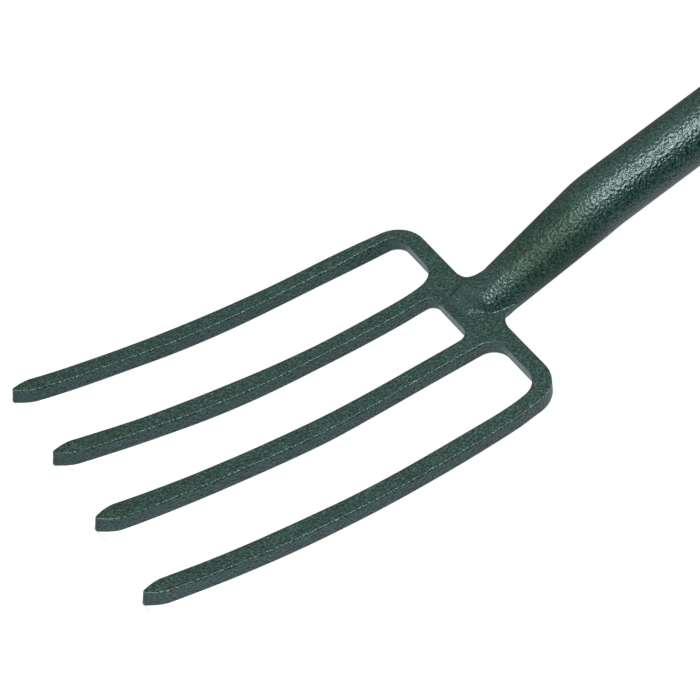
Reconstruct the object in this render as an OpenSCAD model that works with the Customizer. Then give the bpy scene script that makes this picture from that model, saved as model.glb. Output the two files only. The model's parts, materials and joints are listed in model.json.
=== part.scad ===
// Four-tine fork for spiking and digging lawns and beds.
// Stands on its points: +Z runs up the shaft, -Y is the front (the hollow side
// of the tines), X runs across the tines. The origin is on the ground, under
// the middle of the outline. All lengths are in millimetres, angles in degrees.

/* [Tines] */
// Width of a tine, measured across the head
tine_w = 10.9; // [8:0.1:12]
// Thickness of the tines and of the crossbar, front to back
tine_t = 9.9; // [8:0.1:12]
// Length of a tine below the crossbar
tine_len = 265.6; // [240:0.2:300]
// Centre of an inner tine from the middle, at the crossbar
inner_root = 25.4; // [24:0.1:28]
// Centre of an inner tine from the middle, at its point
inner_tip = 29.4; // [26:0.1:32]
// Centre of an outer tine from the middle, at the crossbar
outer_root = 88; // [84:0.5:92]
// Centre of an outer tine from the middle, at its point
outer_tip = 91.6; // [86:0.1:97]
// Length of the tapered point
point_len = 13.5; // [12:0.5:26]
// Width of the blunt end of a point
point_w = 2; // [1.5:0.1:4]
// Straight length of a tine before it starts to bow forward
straight_len = 76; // [60:1:110]
// Radius of the forward bow, on the front face
bow_r = 663; // [560:1:900]

/* [Crossbar] */
// Depth of the crossbar over the outer openings
bar_h = 9.3; // [8:0.1:12]
// How much lower the middle opening stops than the outer two
root_drop = 11.4; // [8:0.1:14]
// Radius of the crossbar's outer corners
shoulder_r = 21; // [16:0.5:24]
// Radius of the openings' outer corners
gap_r_out = 9.5; // [6:0.5:11]
// Radius of the outer openings' inner corners
gap_r_in = 12; // [6:0.5:14]
// Radius of the middle opening's corners
gap_r_mid = 8; // [4:0.5:10]
// Radius of the fillets where the crossbar runs into the neck
neck_fillet_r = 11; // [8:0.5:13]
// Half width of the plate where it enters the neck
neck_half_w = 13; // [12:0.5:14.5]

/* [Socket] */
// Outside diameter of the straight socket tube
socket_od = 39.7; // [38:0.1:42]
// Wall of the socket tube
socket_wall = 2; // [1.6:0.1:2.5]
// Outside diameter of the swaged foot of the neck
neck_od = 29.8; // [28:0.1:32]
// Rounding of the foot of the neck
foot_r = 6.5; // [4:0.5:7]
// Rake of the neck to the face of the crossbar
neck_rake = 20.7; // [18:0.1:23]
// Rake of the straight socket and the shaft to the face of the crossbar
shaft_rake = 12.7; // [10:0.1:15]
// Length of the neck's axis from its foot to where it meets the shaft's axis
neck_len = 98.4; // [85:0.1:115]
// Radius of the bend, on the centreline
bend_r = 100; // [80:1:140]
// Height of the socket's mouth above the point where the two axes meet
socket_len = 170; // [140:1:200]
// Diameter of the socket rivets
socket_rivet_d = 5; // [4:0.5:6]
// Distance from the socket's mouth down to the upper rivet
socket_rivet_top = 24; // [18:1:30]
// Distance between the two socket rivets
socket_rivet_gap = 38; // [25:1:50]
// Size of the weld bead at the foot of the neck
weld_leg = 1.8; // [1:0.1:2.5]

/* [Shaft] */
// Diameter of the middle of the shaft
shaft_d = 34; // [32:0.5:35]
// Diameter of the shaft where it splits
split_d = 36; // [35:0.5:38]
// Radial clearance between the shaft and the socket
shaft_clear = 0.05; // [0.02:0.01:0.1]
// Height of the top of the arms above the ground
total_h = 1018; // [980:1:1100]

/* [Handle] */
// Height from the start of the split to the top of the arms
arm_rise = 152; // [146:1:165]
// Width of the saw cut that makes the two arms
kerf = 1.5; // [1:0.1:2.5]
// Angle at which the arms spread
arm_angle = 40; // [34:1:44]
// Radius of the arms' lower bend, on the inner face
arm_r_low = 62; // [56:1:70]
// Radius of the arms' upper bend, on the inner face
arm_r_top = 38; // [32:1:42]
// Clear width between the arms at the grip
grip_len = 92; // [88:1:98]
// Diameter of the middle of the grip
grip_d = 31; // [28:0.5:34]
// Diameter of the ends of the grip
grip_end_d = 26; // [24:0.5:28]
// Diameter of the grip's tenons
tenon_d = 16; // [14:0.5:20]
// Length of each tenon
tenon_len = 8; // [6:0.5:10]
// Diameter of the handle rivets
rivet_d = 5; // [4:0.5:6]
// Diameter of the washers
washer_d = 15; // [13:0.5:15.5]
// Thickness of the washers
washer_t = 1.5; // [1:0.1:1.8]

/* [Hidden] */

over = 1;          // how far a cutter runs past what it cuts
lap = 0.4;         // how far a bend laps into the straight lengths beside it
lap_inset = 0.05;  // how much smaller all round a bend is than those lengths
hole_clear = 0.1;  // added to the diameter of a hole
seat_clear = 0.4;  // added to the diameter of a washer's seat
seat_depth = 2;    // depth of a washer's seat below the wood's outside

// --- head frame: y up the plate, z out of its front face; the outer openings
//     stop at gap_top, and depths along the tines run down from y = 0
gap_top = 0.4;
shoulder_y = bar_h + gap_top;
mid_top = gap_top - root_drop;
shoulder_inset = 3;     // crossbar's end, inside the outer tine's root line
tang_top = 34;
tang_half_w = 11;
tang_chamfer = 1;
neck_step_h = 1;        // rise over which the plate narrows to the tang
point_top = tine_len - point_len;
point_curve = 1.7;      // exponent of the point's rounded sides
point_steps = 8;
tip_overrun = 8;        // outline below the points, cut off by the bow's end
outer_gap_depth = 12;   // where the outer openings' corners meet the tines
mid_gap_depth = 20;     // the same for the middle opening
outer_gap_inset = 0.6;  // shift inwards of the outer openings' outer corners
// the outer tines draw in a little as they turn into the shoulder: how far
// each edge moves at y = 0, and the depth over which that fades
outer_edge_tuck = 3.2;
outer_edge_fade = 48;
inner_edge_tuck = 0.8;
inner_edge_fade = 25;
head_span = 300;        // wider than the head
head_reach = 60;        // beyond the head above, in front and behind
bow_back = 30;          // behind the front face, deeper than the plate

// end of the bow: its angle, how far forward its front edge lies, and its
// lowest, rear edge; the end is square to the bow
bow_run = tine_len - straight_len;
tip_front = bow_r - sqrt(bow_r * bow_r - bow_run * bow_run);
tip_a = asin(bow_run / bow_r);
rear_y = -straight_len - (bow_r + tine_t) * sin(tip_a);
rear_z = bow_r - (bow_r + tine_t) * cos(tip_a);

// foot of the neck, on its axis, in the head frame
foot_y = 6.9;
foot_z = -6.4;
slot_y = -5;            // lower limit of the foot's slot and of the weld
weld_half_span = 30;
weld_h = 26;
// where the neck's axis meets the shaft's axis, in the head frame
kink_y = foot_y + neck_len * cos(neck_rake);
kink_z = foot_z + neck_len * sin(neck_rake);

// --- neck profile, along its own axis
tilt = neck_rake - shaft_rake;
socket_r = socket_od / 2;
bore_r = socket_r - socket_wall;
neck_r = neck_od / 2;
bend_tangent = bend_r * tan(tilt / 2);
cone_len = neck_len - bend_tangent;
cone_a = atan((socket_r - neck_r) / cone_len);
// centre of the rounding of the foot: touches the end plane and the cone
round_c = neck_r + foot_r * tan(cone_a) - foot_r / cos(cone_a);
hollow_start = 20;      // height of the hollow's floor above the foot
hollow_extra_wall = 0.6;

// --- place of the head in the part's frame: the rear edges of the points
//     touch the ground, and the head is centred front to back
rake_sin = sin(shaft_rake);
rake_cos = cos(shaft_rake);
lift = -(rear_y * rake_cos + rear_z * rake_sin);
front_y = -tine_len * rake_sin - tip_front * rake_cos;
back_y = foot_y * rake_sin - foot_z * rake_cos
         - foot_r * sin(tilt) + round_c * cos(tilt) + foot_r;
shift = -(front_y + back_y) / 2;

shaft_y = kink_y * rake_sin - kink_z * rake_cos + shift;
kink_h = kink_y * rake_cos + kink_z * rake_sin + lift;
bend_top = kink_h + bend_tangent;
mouth_h = kink_h + socket_len;

// --- socket rivets
socket_rivet_z = [mouth_h - socket_rivet_top,
                  mouth_h - socket_rivet_top - socket_rivet_gap];
socket_head_d = 10;
socket_head_h = 2.6;
socket_head_sink = 0.6; // heads' undersides, inside the tube's outer radius

// --- shaft profile
shaft_foot_gap = 10;    // shaft's foot above the bend
shaft_foot_h = 6;       // height and width of the foot's chamfer
shaft_foot_w = 3;
above_mouth = 4;        // above the mouth, where the shaft starts to change size
swell_end = 70;         // above the mouth, where it reaches shaft_d
flare_start = 90;       // below the split, where it starts to widen
flare_end = 40;         // below the split, where it reaches split_d

// --- handle
split_h = total_h - arm_rise;
split_r = split_d / 2;
half_kerf = kerf / 2;
half_grip = grip_len / 2;
arm_straight = (half_grip - half_kerf - (arm_r_low + arm_r_top) * (1 - cos(arm_angle)))
               / sin(arm_angle);
// an arm's inner face, [x, z]: lower bend's centre and end, then upper bend's
// start, centre and end
low_centre = [half_kerf + arm_r_low, split_h];
low_end = low_centre + arm_r_low * [-cos(arm_angle), sin(arm_angle)];
top_start = low_end + arm_straight * [sin(arm_angle), cos(arm_angle)];
top_centre = top_start + arm_r_top * [-cos(arm_angle), sin(arm_angle)];
top_end = top_centre + [arm_r_top, 0];
grip_h = total_h - split_r;
arm_out = half_grip + split_r - half_kerf;
crotch_h = split_h - 18;
cut_depth = 8;          // saw cut below the start of the split
rivet_head_d = 9.5;
rivet_head_h = 2.4;

// crotch wedge: tongue in the saw cut, block between the arms
tongue_depth = 7;
wedge_half_w = 5;
wedge_h = 17;
wedge_inset = 2;        // short of the shaft's front and back

grip_curve = 2.4;       // exponent of the grip's swell
grip_steps = 12;        // on each side of the middle

// ---------------------------------------------------------------- helpers

module in_head() {
    translate([0, shift, lift]) rotate([90 - shaft_rake, 0, 0]) children();
}

module on_shaft() { translate([0, shaft_y, 0]) children(); }

// neck's own frame, Z up its axis from the foot
module at_foot() {
    in_head() translate([0, foot_y, foot_z]) rotate([neck_rake - 90, 0, 0]) children();
}

// Z turned to run along +X, at a height
module across(height) { translate([0, 0, height]) rotate([0, 90, 0]) children(); }

// Z turned to run front to back, at each socket rivet
module at_socket_rivets() {
    for (z = socket_rivet_z) translate([0, 0, z]) rotate([90, 0, 0]) children();
}

// once facing up Z and once facing down
module both_ends() { for (turn = [0, 180]) rotate([turn, 0, 0]) children(); }

// right and left
module both_sides() { for (side = [0, 1]) mirror([side, 0, 0]) children(); }

function lap_angle(radius) = lap / radius * 180 / PI;

// a domed head on the XY plane, dome up
module dome(diameter, height) {
    ball_r = (diameter * diameter / 4 + height * height) / (2 * height);
    edge_a = asin(diameter / 2 / ball_r);
    rotate_extrude($fn = 48) polygon(concat([[0, 0]],
        [for (i = [0:8]) let (a = edge_a * (1 - i / 8))
            [ball_r * sin(a), ball_r * cos(a) - ball_r + height]]));
}

// a rivet along Z, centred, with its heads' undersides at +/- reach
module rivet(diameter, reach, head_d, head_h) {
    translate([0, 0, -reach]) cylinder(d = diameter, h = 2 * reach, $fn = 48);
    both_ends() translate([0, 0, reach]) dome(head_d, head_h);
}

// a rivet's hole along Z, through wood that ends at +/- reach
module rivet_hole(diameter, reach) {
    translate([0, 0, -reach - over])
        cylinder(d = diameter + hole_clear, h = 2 * (reach + over), $fn = 48);
}

module socket_rivet() {
    rivet(socket_rivet_d, socket_r - socket_head_sink, socket_head_d, socket_head_h);
}

// handle rivets run along X; reach is the wood's outside, before the seats
module handle_rivet(height, reach) {
    across(height)
        rivet(rivet_d, reach - seat_depth + washer_t, rivet_head_d, rivet_head_h);
}

module handle_rivet_cut(height, reach) {
    across(height) {
        rivet_hole(rivet_d, reach);
        both_ends() translate([0, 0, reach - seat_depth])
            cylinder(d = washer_d + seat_clear, h = seat_depth + over, $fn = 64);
    }
}

module washer_pair(height, reach) {
    across(height) both_ends() translate([0, 0, reach - seat_depth]) difference() {
        cylinder(d = washer_d, h = washer_t, $fn = 64);
        translate([0, 0, -over])
            cylinder(d = rivet_d + hole_clear, h = washer_t + 2 * over, $fn = 48);
    }
}

// ----------------------------------------------------------- head outline

function arc(x, y, radius, start, end, steps) =
    [for (i = [0:steps]) let (a = start + (end - start) * i / steps)
        [x + radius * cos(a), y + radius * sin(a)]];

// middle of a tine at a depth
function tine_x(root, tip, depth) = root + (tip - root) * depth / tine_len;
function inner_x(depth) = tine_x(inner_root, inner_tip, depth);
function outer_x(depth) = tine_x(outer_root, outer_tip, depth);

// one side of a point; side is 1 for the tine's outer edge, -1 for its inner
function point_side(root, tip, side, steps) =
    [for (i = steps)
        let (along = i / point_steps, depth = point_top + along * point_len,
             half_w = point_w / 2
                      + (tine_w - point_w) / 2 * (1 - pow(along, point_curve)))
        [tine_x(root, tip, depth) + side * half_w, -depth]];

// a whole point, down its outer edge and up its inner one
function point_outline(root, tip) = concat(
    point_side(root, tip, 1, [0:point_steps]),
    [for (side = [1, -1]) [tip + side * point_w / 2, -tine_len - tip_overrun]],
    point_side(root, tip, -1, [point_steps:-1:0])
);

// depths at which the outer tines' edges are set out
tine_steps = [24, 40, 60, 90, 130, 180];

// outline of the right half of the head, clockwise from the middle of the tang
half_outline = concat(
    [[0, tang_top], [tang_half_w - tang_chamfer, tang_top],
     [tang_half_w, tang_top - tang_chamfer],
     [tang_half_w, shoulder_y + neck_fillet_r + neck_step_h]],
    arc(neck_half_w + neck_fillet_r, shoulder_y + neck_fillet_r,
        neck_fillet_r, 180, 270, 10),
    arc(outer_root - shoulder_inset + tine_w / 2 - shoulder_r, shoulder_y - shoulder_r,
        shoulder_r, 90, 0, 14),
    [for (depth = tine_steps)
        [outer_x(depth) + tine_w / 2 - outer_edge_tuck * exp(-depth / outer_edge_fade),
         -depth]],
    point_outline(outer_root, outer_tip),
    [for (i = [len(tine_steps) - 1:-1:0]) let (depth = tine_steps[i])
        [outer_x(depth) - tine_w / 2 - inner_edge_tuck * exp(-depth / inner_edge_fade),
         -depth]],
    arc(outer_x(outer_gap_depth) - tine_w / 2 - outer_gap_inset - gap_r_out,
        gap_top - gap_r_out, gap_r_out, 0, 90, 9),
    arc(inner_x(outer_gap_depth) + tine_w / 2 + gap_r_in,
        gap_top - gap_r_in, gap_r_in, 90, 180, 8),
    point_outline(inner_root, inner_tip),
    arc(inner_x(mid_gap_depth) - tine_w / 2 - gap_r_mid,
        mid_top - gap_r_mid, gap_r_mid, 0, 90, 7)
);
outline = concat(half_outline,
    [for (i = [len(half_outline) - 1:-1:1]) [-half_outline[i][0], half_outline[i][1]]]);

// ----------------------------------------------------------- part lengths

// flat plate from a height in the head frame up, at full thickness
module plate(bottom) {
    spare = 5;
    intersection() {
        translate([0, 0, -tine_t]) linear_extrude(height = tine_t) polygon(outline);
        translate([-head_span / 2, bottom, -tine_t - spare])
            cube([head_span, head_reach - bottom, tine_t + 2 * spare]);
    }
}

// cylinder along X about the bow's centre, running past the head by extra
module bow_cylinder(radius, extra) {
    translate([-head_span / 2 - extra, -straight_len, bow_r]) rotate([0, 90, 0])
        cylinder(r = radius, h = head_span + 2 * extra, $fn = 1440);
}

// lower lengths of the tines, from the straight length to the bow's square end
module bowed_tines() {
    cut_r = bow_r + head_reach;
    intersection() {
        translate([0, 0, -bow_back])
            linear_extrude(height = bow_back + head_reach) polygon(outline);
        difference() {
            bow_cylinder(bow_r + tine_t, 0);
            bow_cylinder(bow_r, over);
        }
        translate([-head_span / 2, 0, 0]) rotate([90, 0, 90])
            linear_extrude(height = head_span)
                polygon([[-straight_len, bow_r], [-straight_len, -head_reach],
                         [-straight_len - cut_r * sin(tip_a), bow_r - cut_r * cos(tip_a)]]);
    }
}

// revolved outside of the neck, grown by a margin, along its own axis
module neck_out(grow) {
    rotate_extrude($fn = 96) polygon(concat(
        [[0, -grow]],
        [for (i = [0:10]) let (a = -90 + i * (90 + cone_a) / 10)
            [round_c + (foot_r + grow) * cos(a), foot_r + (foot_r + grow) * sin(a)]],
        [[socket_r + grow / cos(cone_a), cone_len], [0, cone_len]]));
}

// bend between neck and socket, lapping into both, and straight tube above it
module bend_and_tube(radius, tube_h) {
    lap_a = lap_angle(bend_r);
    on_shaft() {
        translate([0, bend_r, bend_top])
            rotate([-90, 0, 0]) rotate([0, 90, 0]) rotate([0, 0, -lap_a])
                rotate_extrude(angle = tilt + 2 * lap_a, $fn = 720)
                    translate([bend_r, 0]) circle(r = radius - lap_inset, $fn = 96);
        translate([0, 0, bend_top]) cylinder(r = radius, h = tube_h, $fn = 96);
    }
}

// half of the round shaft, flat side on the plane x = 0, round side to +X,
// drawn in all round by inset
module half_round(inset = 0) {
    intersection() {
        translate([-half_kerf, 0]) circle(r = split_r - inset, $fn = 96);
        translate([inset, -split_r - over])
            square([split_r + over, 2 * (split_r + over)]);
    }
}

// one bent arm, right-hand side; its bends lap into its straight lengths
module arm() {
    low_lap = lap_angle(arm_r_low);
    top_lap = lap_angle(arm_r_top);
    // lower bend
    translate([low_centre.x, 0, low_centre.y])
        rotate([90, 0, 180]) rotate([0, 0, -low_lap])
            rotate_extrude(angle = arm_angle + 2 * low_lap, $fn = 360)
                translate([arm_r_low, 0]) mirror([1, 0]) half_round(lap_inset);
    // straight length between the bends
    translate([low_end.x, 0, low_end.y]) rotate([0, arm_angle, 0])
        linear_extrude(height = arm_straight) half_round();
    // upper bend
    translate([top_centre.x, 0, top_centre.y])
        rotate([90, 0, 0]) rotate([0, 0, -arm_angle - top_lap])
            rotate_extrude(angle = arm_angle + 2 * top_lap, $fn = 360)
                translate([arm_r_top, 0]) half_round(lap_inset);
    // upright end, rounded over the grip's axis
    intersection() {
        translate([top_end.x, 0, top_end.y])
            linear_extrude(height = total_h - top_end.y) half_round();
        union() {
            translate([top_end.x - over, 0, grip_h]) rotate([0, 90, 0])
                cylinder(r = split_r, h = split_r + 2 * over, $fn = 96);
            translate([top_end.x - over, -split_r - over, top_end.y - over])
                cube([split_r + 2 * over, 2 * (split_r + over), grip_h - top_end.y + over]);
        }
    }
}

// ------------------------------------------------------------------ parts

// forged head: four tines, crossbar and the tang that enters the neck
module tine_head() {
    color("darkslategray") in_head() {
        plate(-straight_len);
        bowed_tines();
    }
}

// swaged and bent tube that holds the shaft
module socket() {
    color("darkslategray") difference() {
        union() {
            at_foot() neck_out(0);
            bend_and_tube(socket_r, mouth_h - bend_top);
        }
        // hollow of the neck, then of the bend and the shaft's bore
        at_foot() translate([0, 0, hollow_start])
            cylinder(r1 = neck_r + hollow_start * tan(cone_a) - socket_wall
                          - hollow_extra_wall,
                     r2 = bore_r, h = cone_len - hollow_start, $fn = 96);
        bend_and_tube(bore_r, mouth_h - bend_top + over);
        // the foot straddles the plate
        in_head() plate(slot_y);
        on_shaft() at_socket_rivets() socket_rivet();
    }
}

// bead along the foot of the neck, front and back
module neck_weld() {
    color("dimgray") for (z = [0, -tine_t - weld_leg]) difference() {
        intersection() {
            at_foot() neck_out(weld_leg);
            in_head() translate([-weld_half_span, slot_y, z])
                cube([2 * weld_half_span, weld_h, weld_leg]);
        }
        at_foot() neck_out(0);
    }
}

// ash shaft with its two arms
module shaft() {
    foot_h = bend_top + shaft_foot_gap;
    fit_r = bore_r - shaft_clear;
    color("burlywood") on_shaft() difference() {
        union() {
            rotate_extrude($fn = 96) polygon([
                [0, foot_h], [fit_r - shaft_foot_w, foot_h], [fit_r, foot_h + shaft_foot_h],
                [fit_r, mouth_h + above_mouth], [shaft_d / 2, mouth_h + swell_end],
                [shaft_d / 2, split_h - flare_start], [split_r, split_h - flare_end],
                [split_r, split_h], [0, split_h]]);
            both_sides() arm();
        }
        // the saw cut
        translate([-half_kerf, -split_r - over, split_h - cut_depth])
            cube([kerf, 2 * (split_r + over), cut_depth + over]);
        // housings for the grip's tenons
        across(grip_h) translate([0, 0, -half_grip - tenon_len])
            cylinder(d = tenon_d + hole_clear, h = grip_len + 2 * tenon_len, $fn = 64);
        handle_rivet_cut(grip_h, arm_out);
        handle_rivet_cut(crotch_h, split_r);
        at_socket_rivets() rivet_hole(socket_rivet_d, split_r);
    }
}

// hardwood wedge that fills the root of the split
module crotch_wedge() {
    depth = split_d - 2 * wedge_inset;
    color("peru") on_shaft() difference() {
        union() {
            translate([-half_kerf, -depth / 2, split_h - tongue_depth])
                cube([kerf, depth, tongue_depth]);
            translate([-wedge_half_w, -depth / 2, split_h])
                cube([2 * wedge_half_w, depth, wedge_h]);
        }
        both_sides() translate([low_centre.x, split_r + over, low_centre.y])
            rotate([90, 0, 0]) cylinder(r = arm_r_low, h = split_d + 2 * over, $fn = 360);
    }
}

// steel pin across the shaft below the split
module crotch_rivet() { color("silver") on_shaft() handle_rivet(crotch_h, split_r); }

// washers under the crotch rivet's heads
module crotch_washers() { color("silver") on_shaft() washer_pair(crotch_h, split_r); }

// turned crosspiece with its tenons
module grip() {
    end = half_grip + tenon_len;
    tenon_r = tenon_d / 2;
    color("burlywood") on_shaft() across(grip_h) difference() {
        rotate_extrude($fn = 96) polygon(concat(
            [[0, -end], [tenon_r, -end], [tenon_r, -half_grip]],
            [for (i = [0:2 * grip_steps]) let (along = -1 + i / grip_steps)
                [grip_end_d / 2
                 + (grip_d - grip_end_d) / 2 * (1 - pow(abs(along), grip_curve)),
                 along * half_grip]],
            [[tenon_r, half_grip], [tenon_r, end], [0, end]]));
        rivet_hole(rivet_d, end);
    }
}

// steel rod through the arms and the grip
module grip_rivet() { color("silver") on_shaft() handle_rivet(grip_h, arm_out); }

// washers under the grip rivet's heads
module grip_washers() { color("silver") on_shaft() washer_pair(grip_h, arm_out); }

// rivets through the socket and the shaft, front to back
module socket_rivets() {
    color("darkslategray") on_shaft() at_socket_rivets() socket_rivet();
}

tine_head();
socket();
neck_weld();
shaft();
crotch_wedge();
crotch_rivet();
crotch_washers();
grip();
grip_rivet();
grip_washers();
socket_rivets();
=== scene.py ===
# A four-tined fork: a forged head, a tubular socket welded to it, and an ash shaft that
# splits into two arms with a turned grip between them. It stands upright along Z, its
# middle plane is x = 0, +X is its right and the head's front face looks towards -Y.
# Shapes are worked out in millimetres and stored in metres.
import json
import math
from itertools import product

import bmesh
import bpy
import numpy as np
from mathutils import Matrix, Vector


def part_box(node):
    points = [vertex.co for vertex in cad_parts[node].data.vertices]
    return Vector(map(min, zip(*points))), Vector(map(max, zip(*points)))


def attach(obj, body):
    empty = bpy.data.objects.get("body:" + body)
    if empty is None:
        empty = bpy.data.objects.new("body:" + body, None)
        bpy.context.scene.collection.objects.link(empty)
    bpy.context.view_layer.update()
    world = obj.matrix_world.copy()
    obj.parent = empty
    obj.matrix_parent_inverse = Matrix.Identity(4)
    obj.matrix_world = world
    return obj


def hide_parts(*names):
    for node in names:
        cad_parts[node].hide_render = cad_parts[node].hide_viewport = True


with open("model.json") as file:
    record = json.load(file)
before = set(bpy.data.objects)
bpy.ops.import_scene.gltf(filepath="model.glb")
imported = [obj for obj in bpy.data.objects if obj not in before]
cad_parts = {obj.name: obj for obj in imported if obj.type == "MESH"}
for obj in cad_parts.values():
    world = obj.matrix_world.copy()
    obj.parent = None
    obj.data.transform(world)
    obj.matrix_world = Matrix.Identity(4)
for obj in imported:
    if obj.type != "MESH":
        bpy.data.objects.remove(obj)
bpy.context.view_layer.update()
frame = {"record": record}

MM = 0.001

# ---------------------------------------------------------------------------
# places read from the frame


def frame_box(name):
    low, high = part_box(name)
    return np.array(low) * 1000.0, np.array(high) * 1000.0


def middle(name, axis):
    low, high = frame_box(name)
    return float(low[axis] + high[axis]) / 2


SOCKET_HEAD_D = 10.0  # the socket rivets' domes
SHAFT_Y = middle("socket_rivets", 1)
SOCKET_BOTTOM, SOCKET_TOP = [float(corner[2]) for corner in frame_box("socket")]
ARM_TOP = float(frame_box("shaft")[1][2])
GRIP_Z = middle("grip", 2)
CROTCH_Z = middle("crotch_rivet", 2)
SPLIT_Z = CROTCH_Z + 18.0
LOW_RIVET_Z = float(frame_box("socket_rivets")[0][2]) + SOCKET_HEAD_D / 2
HIGH_RIVET_Z = float(frame_box("socket_rivets")[1][2]) - SOCKET_HEAD_D / 2
SOCKET_RIVETS_Z = [HIGH_RIVET_Z, LOW_RIVET_Z]

# The head's own axes: x to the right, y up the head, z out of its front face. The
# origin is on the front face, SHOULDER below the treads.
SHOULDER = 9.7
TINE_T = 9.9
tread = {mount["name"]: mount for mount in frame["record"]["mounts"]}["tread_right"]
head_up = np.array(tread["axis"], float)
head_up /= np.linalg.norm(head_up)
head_right = np.array([1.0, 0, 0])
head_front = np.cross(head_right, head_up)
HEAD = np.stack([head_right, head_up, head_front], 1)
head_origin = np.array(tread["pos_m"], float) * 1000.0
head_origin = (np.array([0.0, head_origin[1], head_origin[2]])
               - head_up * SHOULDER + head_front * TINE_T / 2)


def to_head(points):
    return (points - head_origin) @ HEAD


def to_world(points):
    return points @ HEAD.T + head_origin


# ---------------------------------------------------------------------------
# signed distance fields, negative inside, and the meshes made from them


def round_max(a, b, radius):
    """What two fields share, its edge rounded."""
    over = np.hypot(np.maximum(radius + a, 0), np.maximum(radius + b, 0))
    return np.minimum(-radius, np.maximum(a, b)) + over


def round_min(a, b, radius):
    """Two fields together, their corner filled."""
    under = np.hypot(np.maximum(radius - a, 0), np.maximum(radius - b, 0))
    return np.maximum(radius, np.minimum(a, b)) - under


def ease(t):
    t = np.clip(t, 0, 1)
    return t * t * (3 - 2 * t)


def steps(*spans):
    """Grid stops: (from, to, step) spans put end to end."""
    stops = [spans[0][0]]
    for start, end, step in spans:
        count = max(1, int(round((end - start) / step)))
        stops += list(start + (end - start) * (np.arange(count) + 1) / count)
    return np.array(stops)


BLOCK = 6        # grid cells along a side of the blocks tried first
CHUNK = 400000   # points worked out at once


def sample(field, xs, ys, zs):
    """The field on the grid. Blocks well away from the surface only get its sign."""
    shape = (len(xs), len(ys), len(zs))
    last_x, last_y, last_z = (count - 1 for count in shape)
    values = np.full(shape, 9.0, np.float32)
    near = np.zeros(shape, bool)
    k = np.arange(0, last_z, BLOCK)
    k_end = np.minimum(k + BLOCK, last_z)
    for i in range(0, last_x, BLOCK):
        i_end = min(i + BLOCK, last_x)
        for j in range(0, last_y, BLOCK):
            j_end = min(j + BLOCK, last_y)
            centres = np.stack([np.full(len(k), (xs[i] + xs[i_end]) / 2),
                                np.full(len(k), (ys[j] + ys[j_end]) / 2),
                                (zs[k] + zs[k_end]) / 2], 1)
            reach = 0.5 * np.sqrt((xs[i_end] - xs[i]) ** 2 + (ys[j_end] - ys[j]) ** 2
                                  + (zs[k_end] - zs[k]) ** 2)
            distance = field(centres)
            close = np.abs(distance) < reach * 1.25 + 0.8
            for low, high, is_close, value in zip(k, k_end, close, distance):
                block = np.s_[i:i_end + 1, j:j_end + 1, low:high + 1]
                if is_close:
                    near[block] = True
                elif value < 0:
                    values[block] = -9.0
    index = np.nonzero(near)
    points = np.stack([xs[index[0]], ys[index[1]], zs[index[2]]], 1)
    found = np.empty(len(points), np.float32)
    for start in range(0, len(points), CHUNK):
        found[start:start + CHUNK] = field(points[start:start + CHUNK])
    values[index] = found
    values[values == 0] = 1e-5
    return values


def active_cells(inside):
    """True for the cells that have corners on both sides of the surface."""
    last_x, last_y, last_z = (count - 1 for count in inside.shape)
    count = np.zeros((last_x, last_y, last_z), np.uint8)
    for a, b, c in product((0, 1), repeat=3):
        count += inside[a:last_x + a, b:last_y + b, c:last_z + c]
    return (count > 0) & (count < 8)


def cell_points(values, cells, stops):
    """One point in each cell: the mean of where the surface crosses its edges."""
    total = np.zeros((len(cells[0]), 3))
    crossings = np.zeros(len(cells[0]))
    for axis in range(3):
        side_1, side_2 = [other for other in range(3) if other != axis]
        for u, v in product((0, 1), repeat=2):
            start = list(cells)
            start[side_1] = start[side_1] + u
            start[side_2] = start[side_2] + v
            end = list(start)
            end[axis] = end[axis] + 1
            before = values[tuple(start)].astype(float)
            after = values[tuple(end)].astype(float)
            crossed = (before < 0) != (after < 0)
            t = np.where(crossed, before / np.where(crossed, before - after, 1), 0)
            points = np.stack([stops[d][start[d]] for d in range(3)], 1)
            points[:, axis] += t * (stops[axis][cells[axis] + 1] - stops[axis][cells[axis]])
            total[crossed] += points[crossed]
            crossings[crossed] += 1
    return total / crossings[:, None]


def cell_quads(inside, vertex_of):
    """A quad round every grid edge that crosses the surface."""
    shape = inside.shape
    quads = []
    for axis in range(3):
        side_1, side_2 = (axis + 1) % 3, (axis + 2) % 3
        lower, upper = [slice(None)] * 3, [slice(None)] * 3
        lower[axis], upper[axis] = slice(0, shape[axis] - 1), slice(1, shape[axis])
        edges = np.stack(np.nonzero(inside[tuple(lower)] != inside[tuple(upper)]), 1)
        at_1, at_2 = edges[:, side_1], edges[:, side_2]
        edges = edges[(at_1 > 0) & (at_2 > 0)
                      & (at_1 < shape[side_1] - 1) & (at_2 < shape[side_2] - 1)]
        leaving = inside[edges[:, 0], edges[:, 1], edges[:, 2]]
        corners = []
        for u, v in ((1, 1), (0, 1), (0, 0), (1, 0)):
            cell = edges.copy()
            cell[:, side_1] -= u
            cell[:, side_2] -= v
            corners.append(vertex_of[cell[:, 0], cell[:, 1], cell[:, 2]])
        corners = np.stack(corners, 1)
        corners[~leaving] = corners[~leaving][:, ::-1]
        quads.append(corners)
    quads = np.concatenate(quads)
    return quads[(quads >= 0).all(1)]


def gradient(field, points, step=0.04):
    slopes = np.empty_like(points)
    for axis in range(3):
        before, after = points.copy(), points.copy()
        before[:, axis] -= step
        after[:, axis] += step
        slopes[:, axis] = (field(after) - field(before)) / (2 * step)
    return slopes


def unit_normals(field, points):
    slopes = gradient(field, points)
    return slopes / np.maximum(np.linalg.norm(slopes, axis=1), 1e-9)[:, None]


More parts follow.
